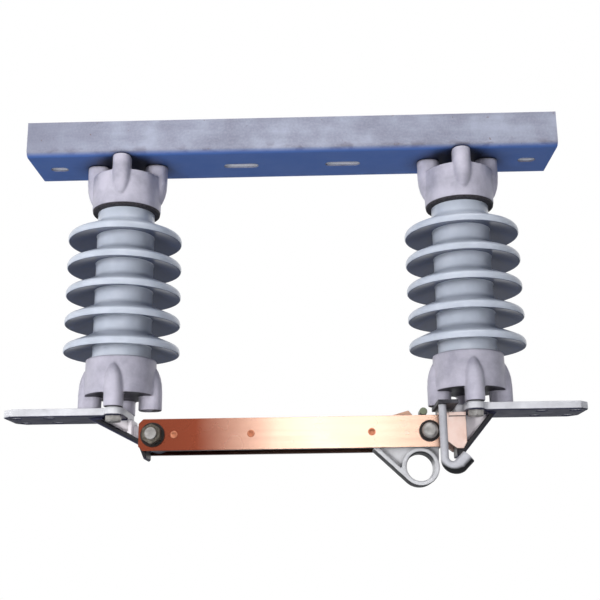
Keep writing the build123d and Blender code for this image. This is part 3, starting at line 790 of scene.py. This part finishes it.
# %% [markdown]
# ## Caps
# Each lobe of a cap runs up the cup as a rib that narrows to a point, like the bow of a
# boat. The copy's ribs end square. New ribs could be added, but cutting keeps the cup as it
# is: a round collar loses its middle and four pointed ribs, and what is left of it is cut
# away from the copy. One pattern in the foundry makes all four caps, so one casting is
# copied here too, and the upper ones hang upside down.

# %% Helpers for the rib ends
lobe_radius, lobe_centre = 12.5 * mm, 45.0 * mm
rib_start, rib_height, rib_root = 28 * mm, 34 * mm, 5 * mm
# How far up the rib, in millimetres, and the share of its width that is left there.
rib_rings = [(9, 0.94), (18, 0.78), (26, 0.54), (32, 0.24)]
tip_share = 0.05


def round_blank(name, radius, low, height, x, y, sides):
    """A plain round blank that stands on a height."""
    return cylinder(name, radius, height, (x, y, low + height / 2), sides)


def pointed_rib(turn):
    """A round rib at the cup's wall that narrows towards its top, turned about the post."""
    x, y, low = hinge_post_x, centre_y, seat_z + rib_start
    rib = round_blank("pointed_rib", lobe_radius, low - rib_root, rib_height + rib_root, x, y, 32)
    bpy.ops.object.mode_set(mode="EDIT")
    for rise, _ in rib_rings:
        cut_ring(low + rise * mm)
    for rise, share in rib_rings:
        select_rings(rib, [low + rise * mm])
        bpy.ops.transform.resize(value=(share, share, 1), center_override=(x, y, low + rise * mm))
    select_rings(rib, [low + rib_height])
    bpy.ops.transform.resize(value=(tip_share, tip_share, 1),
                             center_override=(x, y, low + rib_height))
    bpy.ops.mesh.select_all(action="SELECT")
    bpy.ops.transform.translate(value=(lobe_centre * cos(turn), lobe_centre * sin(turn), 0))
    bpy.ops.object.mode_set(mode="OBJECT")
    return rib


def cut_away(obj, cutter):
    """Cut one closed piece out of another and drop the cutter."""
    apply_modifier(obj, "BOOLEAN", operation="DIFFERENCE", object=cutter, solver="MANIFOLD")
    bpy.data.objects.remove(cutter)


print("a rib narrows at", [rise for rise, _ in rib_rings], "mm")

# %% Collar that trims the ribs
collar_radius, cup_radius = 66 * mm, 48.3 * mm
collar = round_blank("collar", collar_radius, seat_z + rib_start, rib_height + 1 * mm,
                     hinge_post_x, centre_y, 90)
cut_away(collar, round_blank("cup_blank", cup_radius, seat_z, 90 * mm,
                             hinge_post_x, centre_y, 94))
for quarter in range(4):
    cut_away(collar, pointed_rib(radians(90 * quarter)))
    print("collar faces", len(collar.data.polygons))

# %% Four caps from one casting
spacing = jaw_post_x - hinge_post_x


def hung(source, name, x):
    """A copy of a lower piece of the hinge post, turned over under the channel."""
    return placed_copy(source, name, (x, 2 * centre_y, web_z + seat_z), upside_down)


cap = merged_copy("hinge_lower_cap", "hinge_lower_cap_casting", flat=False)
cut_away(cap, collar)
cap = sand_cast(cap, 1.2, 7)
stand_for(placed_copy(cap, "jaw_lower_cap_casting", (spacing, 0, 0)), "jaw_lower_cap")
for side, x in (("hinge", 0), ("jaw", spacing)):
    stand_for(hung(cap, f"{side}_upper_cap_casting", x), f"{side}_upper_cap")
stand_for(cap, "hinge_lower_cap")
print("faces of a cap", len(cap.data.polygons))

# %% [markdown]
# ## Bitumen beads
# The upper joints hang mouth down and are painted over with bitumen, which stands a little
# proud. The lower ones face up, where rain washed them back to bare cement. A bead could be
# a torus, but a bevelled disc has the flat face that a brush leaves.

# %% Beads and bare joints
cap_height, bead_rise, bead_root = 70 * mm, 3.4 * mm, 0.5 * mm
bead_radius, filling_radius, filling_depth = 47.4 * mm, 43.8 * mm, 8 * mm
bead = round_blank("bead", bead_radius, seat_z + cap_height - bead_root, bead_rise + bead_root,
                   hinge_post_x, centre_y, 96)
bpy.ops.object.mode_set(mode="EDIT")
select_rings(bead, [seat_z + cap_height + bead_rise])
bpy.ops.mesh.bevel(offset=2.2 * mm, segments=4, affect="EDGES")
bpy.ops.object.mode_set(mode="OBJECT")
# The filling reaches back into the cup, so that no gap shows behind the bead.
filling = round_blank("filling", filling_radius, seat_z + cap_height - filling_depth,
                      filling_depth, hinge_post_x, centre_y, 96)
bead = joined("bead", bead, filling)
smooth_by_angle(bead, 50)
for side, x in (("hinge", 0), ("jaw", spacing)):
    stand_for(hung(bead, f"{side}_upper_bead", x), f"{side}_upper_cement")
    frame["nodes"][f"{side}_lower_cement"].data.materials[0] = grey_joint
bpy.data.objects.remove(bead)
print("beads done")

# %% [markdown]
# ## Brackets, latch lever and hook
# The brackets are heavy castings with fillets of some millimetres. The lever and the hook
# are thinner, so they are rebuilt from finer voxels, which keep the ring's eye open.

# %% Cast and forged pieces
for side in ("hinge", "jaw"):
    stand_for(cast_from(f"{side}_bracket", f"{side}_bracket_casting", 1.2, 5), f"{side}_bracket")
lever = stand_for(cast_from("latch_lever", "latch_lever_casting", 0.8, 5), "latch_lever")
hook = stand_for(cast_from("loadbreak_hook", "loadbreak_hook_forging", 0.7, 5), "loadbreak_hook")
print("faces of the lever", len(lever.data.polygons), "and of the hook", len(hook.data.polygons))

# %% [markdown]
# ## Porcelain posts
# A post is turned from clay on a lathe: a core with five sheds that throw the rain clear.
# Its profile could be drawn and spun. Here it starts as a plain cylinder, like the clay
# blank. Bisecting cuts it into rings, the rings at each rim are pulled out, and bevels on
# the rims and roots give the soft corners over which a glaze flows.

# %% Sizes of the sheds
core_low, core_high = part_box("hinge_insulator")
core_radius = 40.0 * mm
shed_radius = (core_high.x - core_low.x) / 2
shed_count, shed_pitch = 5, 40.0 * mm
shed_rise, shed_hollow = 28.0 * mm, 11.0 * mm
rim_band = 10.0 * mm
top_rim = web_z - 117.8 * mm
shed_rims = [top_rim - shed * shed_pitch for shed in range(shed_count)]
print("rims at z", [round(z, 4) for z in shed_rims])

# %% One post from a cylinder
post = cylinder("hinge_porcelain", core_radius, core_high.z - core_low.z,
                (0, 0, (core_high.z + core_low.z) / 2), 96)
bpy.ops.object.mode_set(mode="EDIT")
root_step = 2 * mm
for rim in shed_rims:
    for height in (rim - root_step, rim, rim + rim_band, rim + shed_rise):
        cut_ring(height)
wider = shed_radius / core_radius
for rim in shed_rims:
    for height in (rim, rim + rim_band):
        select_rings(post, [height])
        bpy.ops.transform.resize(value=(wider, wider, 1), center_override=(0, 0, height))
    select_rings(post, [rim - root_step])
    bpy.ops.transform.translate(value=(0, 0, root_step + shed_hollow))
# Height over the rim, bevel in millimetres and its steps: rim above and below, root above
# and below.
for rise, round_mm, steps in ((rim_band, 4.6, 5), (0, 2.6, 4), (shed_rise, 5.0, 4),
                              (shed_hollow, 2.0, 3)):
    select_rings(post, [rim + rise for rim in shed_rims])
    bpy.ops.mesh.bevel(offset=round_mm * mm, segments=steps, affect="EDGES")
bpy.ops.object.mode_set(mode="OBJECT")
smooth_by_angle(post, 40)
for side, x in (("hinge", hinge_post_x), ("jaw", jaw_post_x)):
    stand_for(placed_copy(post, f"{side}_porcelain_post", (x, centre_y, 0)), f"{side}_insulator")
bpy.data.objects.remove(post)
print("porcelain done")

# %% [markdown]
# ## Hex bolts and nut
# A hex head is cropped from round bar, so its corners are cut back by a cone. That cone is
# what makes a head look real. The head starts as a six-sided cylinder and keeps only what
# lies inside a bevelled round one, which is the same cut.

# %% Helpers for a bolt
def round_piece(name, radius, height, centre=(0, 0, 0), bevel_mm=0.0, steps=1, sides=64):
    """A round piece along Z about its centre, with its top edge bevelled if asked."""
    made = cylinder(name, radius, height, centre, sides)
    if bevel_mm:
        bpy.ops.object.mode_set(mode="EDIT")
        select_rings(made, [centre[2] + height / 2])
        bpy.ops.mesh.bevel(offset=bevel_mm * mm, segments=steps, affect="EDGES")
        bpy.ops.object.mode_set(mode="OBJECT")
    return made


def hex_head(name, flats, height):
    """Hex head standing on Z = 0 with its corners cut back at the top."""
    corner = flats / 2 / cos(radians(30))
    made = cylinder(name, corner, height, (0, 0, height / 2), 6)
    cutter = round_piece("corner_cutter", corner, height, (0, 0, height / 2), 0.14 * corner / mm)
    apply_modifier(made, "BOOLEAN", operation="INTERSECT", object=cutter, solver="EXACT")
    bpy.data.objects.remove(cutter)
    apply_modifier(made, "BEVEL", width=0.35 * mm, segments=2, limit_method="ANGLE",
                   angle_limit=radians(25))
    smooth_by_angle(made, 30)
    return made


bolt_spread = 38.1 * mm
head_height, head_flats, shank_radius = 8.0 * mm, 19.0 * mm, 6.3 * mm


def cap_bolt(shank_length):
    """Bolt with its head down from Z = 0 and its shank up."""
    head = hex_head("head", head_flats, head_height)
    shank = round_piece("shank", shank_radius, shank_length, (0, 0, -shank_length / 2), sides=32)
    whole = joined("cap_bolt", head, shank)
    turned = placed_copy(whole, "cap_bolt_upright", turn=upside_down)
    bpy.data.objects.remove(whole)
    return turned


print("bolts stand", round(1000 * bolt_spread, 1), "mm from the post's axis")

# %% Bolts of the caps and of the strap
for side, x in (("hinge", hinge_post_x), ("jaw", jaw_post_x)):
    low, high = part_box(f"{side}_upper_bolts")
    bolt = cap_bolt(high.z - low.z - head_height)
    pair = [placed_copy(bolt, "bolt", (x + step, centre_y, high.z - head_height), upside_down)
            for step in (-bolt_spread, bolt_spread)]
    stand_for(joined(f"{side}_upper_hex_bolts", *pair), f"{side}_upper_bolts")
    low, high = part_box(f"{side}_lower_bolts")
    pair = [placed_copy(bolt, "bolt", (x, centre_y + step, low.z + head_height))
            for step in (-bolt_spread, bolt_spread)]
    stand_for(joined(f"{side}_lower_hex_bolts", *pair), f"{side}_lower_bolts")
    bpy.data.objects.remove(bolt)
low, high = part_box("hook_strap_bolt")
bolt = cap_bolt(high.z - low.z - head_height)
strap_place = ((low.x + high.x) / 2, centre_y, low.z + head_height)
stand_for(placed_copy(bolt, "strap_hex_bolt", strap_place), "hook_strap_bolt")
bpy.data.objects.remove(bolt)
print("hex bolts done")

# %% [markdown]
# ## Hinge bolt and nut
# The blade turns on one long bolt along Y. Its head is behind, and its rounded end stands
# out of the nut in front. The nut and the washers are greasy from the hinge, the bolt's end
# is wiped clean.

# %% Hinge nut, through bolt and washers
low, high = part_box("hinge_nut")
bolt_low, bolt_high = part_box("hinge_bolt")
hinge_bolt_radius, hinge_head_height = 7.9 * mm, 10 * mm
across_flats, nut_back = high.z - low.z, high.y
nut = hex_head("nut", across_flats, high.y - low.y)
stand_for(placed_copy(nut, "hinge_hex_nut", (pivot.x, nut_back, pivot.z), facing_front),
          "hinge_nut", finish=oiled)
end_length = nut_back - bolt_low.y
end = round_piece("end", hinge_bolt_radius, end_length, (0, 0, end_length / 2), 1.2, 2)
hinge_end = placed_copy(end, "end_placed", (pivot.x, nut_back, pivot.z), facing_front)
shank_length = bolt_high.y - nut_back - hinge_head_height
shank = round_piece("shank", hinge_bolt_radius, shank_length, (0, 0, shank_length / 2))
hinge_shank = placed_copy(shank, "shank_placed", (pivot.x, nut_back, pivot.z), facing_rear)
head = hex_head("head", across_flats, hinge_head_height)
hinge_head = placed_copy(
    head, "head_placed", (pivot.x, bolt_high.y - hinge_head_height, pivot.z), facing_rear)
for spare in (nut, end, shank, head):
    bpy.data.objects.remove(spare)
stand_for(joined("hinge_through_bolt", hinge_end, hinge_shank, hinge_head), "hinge_bolt")
softened("hinge_washers", "hinge_washers_with_soft_edges", 0.6, black)
softened("jaw_end_washers", "jaw_washers_with_soft_edges", 0.6, black)
print("hinge fasteners done")

# %% [markdown]
# ## Rivet marks on the bars
# The spacers between the bars are riveted over at both ends. The hammer leaves a shallow
# dome with a small hollow in it. Here the top of a low disc is bevelled for the dome, inset
# twice and pushed in for the hollow.

# %% Rivet ends
spacer_low, spacer_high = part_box("blade_spacers")
rivet_radius = spacer_high.z - pivot.z
# The middle spacer is this far from the pivot.
middle_spacer = 129.7 * mm
rivet_places = [spacer_low.x + rivet_radius, pivot.x + middle_spacer, spacer_high.x - rivet_radius]
rivet_height, rivet_lift = 1.0 * mm, 0.3 * mm
rivet_ring, hollow_wall, hollow_depth = 1.2 * mm, 1.0 * mm, 0.7 * mm
rivet = round_piece("rivet", rivet_radius, rivet_height, (0, 0, rivet_lift), 0.7, 4, sides=40)
bpy.ops.object.mode_set(mode="EDIT")
bpy.ops.mesh.select_all(action="DESELECT")
mesh = bmesh.from_edit_mesh(rivet.data)
for face in mesh.faces:
    if face.normal.z > 0.99:
        face.select_set(True)
bmesh.update_edit_mesh(rivet.data)
bpy.ops.mesh.inset(thickness=rivet_ring)
bpy.ops.mesh.inset(thickness=hollow_wall)
bpy.ops.transform.translate(value=(0, 0, -hollow_depth))
bpy.ops.object.mode_set(mode="OBJECT")
smooth_by_angle(rivet, 50)
for side, y, turn in (("front", blade_low.y, facing_front),
                      ("rear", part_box("blade_rear")[1].y, facing_rear)):
    ends = [placed_copy(rivet, "rivet_end", (x, y, pivot.z), turn) for x in rivet_places]
    row = joined(f"rivet_ends_{side}", *ends)
    row.data.materials.clear()
    row.data.materials.append(rubbed)
    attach(row, body_of["blade_front"])
bpy.data.objects.remove(rivet)
print("rivets at x", [round(x, 4) for x in rivet_places])
